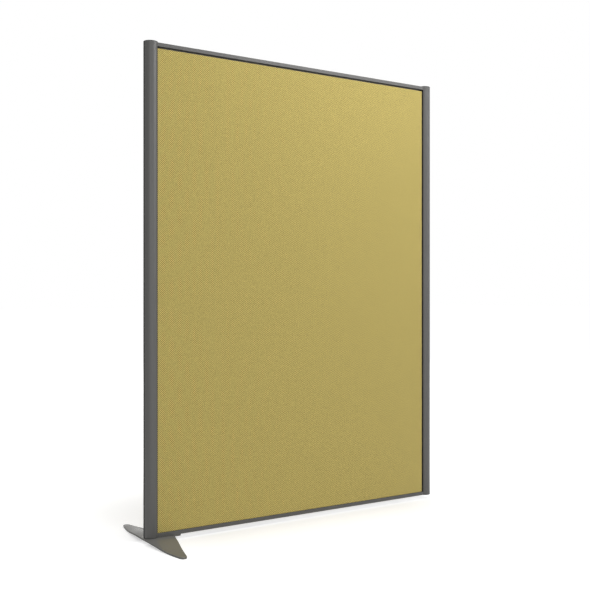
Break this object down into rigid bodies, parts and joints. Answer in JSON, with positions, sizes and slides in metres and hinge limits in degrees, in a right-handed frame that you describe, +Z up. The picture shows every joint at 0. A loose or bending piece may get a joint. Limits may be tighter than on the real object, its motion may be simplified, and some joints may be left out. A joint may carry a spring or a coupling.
{
  "type": "office partition",
  "caption": "Free-standing office partition: cloth-covered panel between round extruded posts and slim rails, with a boomerang-shaped foot under one post and a levelling glide under the other.",
  "frame": {"origin": "on the floor, midway between the two posts, in the panel's middle plane", "axes": "+Z up, +X along the panel from the post with the foot to the other post, -Y out of the front face"},
  "size_m": [1.0433, 0.4, 1.39],
  "materials": {
    "frame_aluminium": "satin grey coating",
    "cap_plastic": "fine matt",
    "trim_plastic": "fine matt",
    "foot_steel": "satin grey powder coating",
    "cloth": "woven, mustard olive",
    "felt": "needled felt",
    "board": "raw fibreboard",
    "connector_casting": "as cast",
    "screw_steel": "zinc plated",
    "glide_plastic": "matt black"
  },
  "bodies": {
    "frame": {"left_post": "frame_aluminium", "right_post": "frame_aluminium", "top_rail": "frame_aluminium", "bottom_rail": "frame_aluminium", "left_top_cap": "cap_plastic", "right_top_cap": "cap_plastic", "left_bottom_cap": "cap_plastic", "right_bottom_cap": "cap_plastic", "left_slot_strip": "trim_plastic", "right_slot_strip": "trim_plastic", "left_panel_spline": "trim_plastic", "right_panel_spline": "trim_plastic", "panel_packers": "trim_plastic", "left_post_insert": "screw_steel", "right_post_insert": "screw_steel", "top_left_connector": "connector_casting", "top_right_connector": "connector_casting", "bottom_left_connector": "connector_casting", "bottom_right_connector": "connector_casting", "connector_clamp_screws": "screw_steel", "panel_core": "board", "front_pad": "felt", "rear_pad": "felt", "front_fabric": "cloth", "rear_fabric": "cloth", "foot_plate": "foot_steel", "foot_bracket": "foot_steel", "foot_post_screw": "screw_steel", "foot_rail_screw": "screw_steel"},
    "glide": {"glide_disc": "glide_plastic", "glide_stem": "screw_steel"}
  },
  "joints": [
    {"name": "glide_travel", "type": "slide", "parent": "frame", "child": "glide", "axis": [0, 0, -1], "range_m": [0, 0.0135]}
  ]
}
